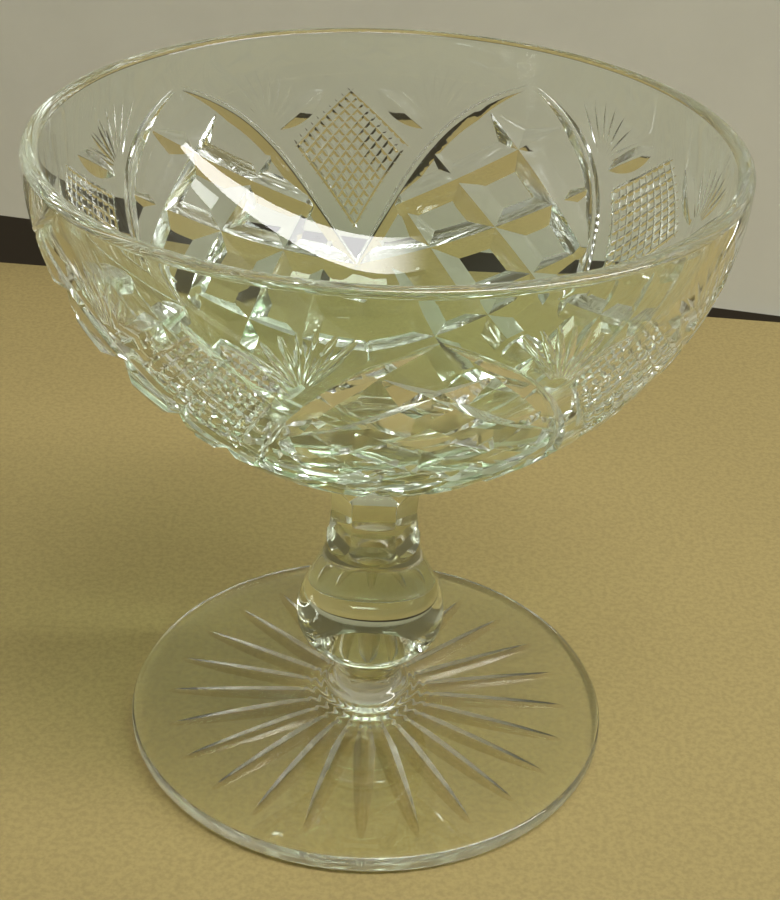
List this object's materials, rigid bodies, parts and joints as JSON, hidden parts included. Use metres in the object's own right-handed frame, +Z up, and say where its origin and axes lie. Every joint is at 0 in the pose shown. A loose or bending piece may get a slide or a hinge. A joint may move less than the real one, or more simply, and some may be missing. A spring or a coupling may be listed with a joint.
{
  "type": "sherbet glass",
  "caption": "Cut-glass footed dessert coupe: a round bowl with arches, lattice and diamond panels on a faceted neck, a ball knop and a flat round foot.",
  "frame": {"origin": "centre of the foot's flat underside, on the resting plane", "axes": "+Z up along the stem's axis; +X and +Y level, with -Y towards the viewer of the picture"},
  "size_m": [0.1, 0.1, 0.101],
  "materials": {
    "clear_glass": "polished"
  },
  "bodies": {
    "root": {"bowl": "clear_glass", "stem_neck": "clear_glass", "knop": "clear_glass", "stem_collar": "clear_glass", "foot": "clear_glass"}
  },
  "joints": []
}
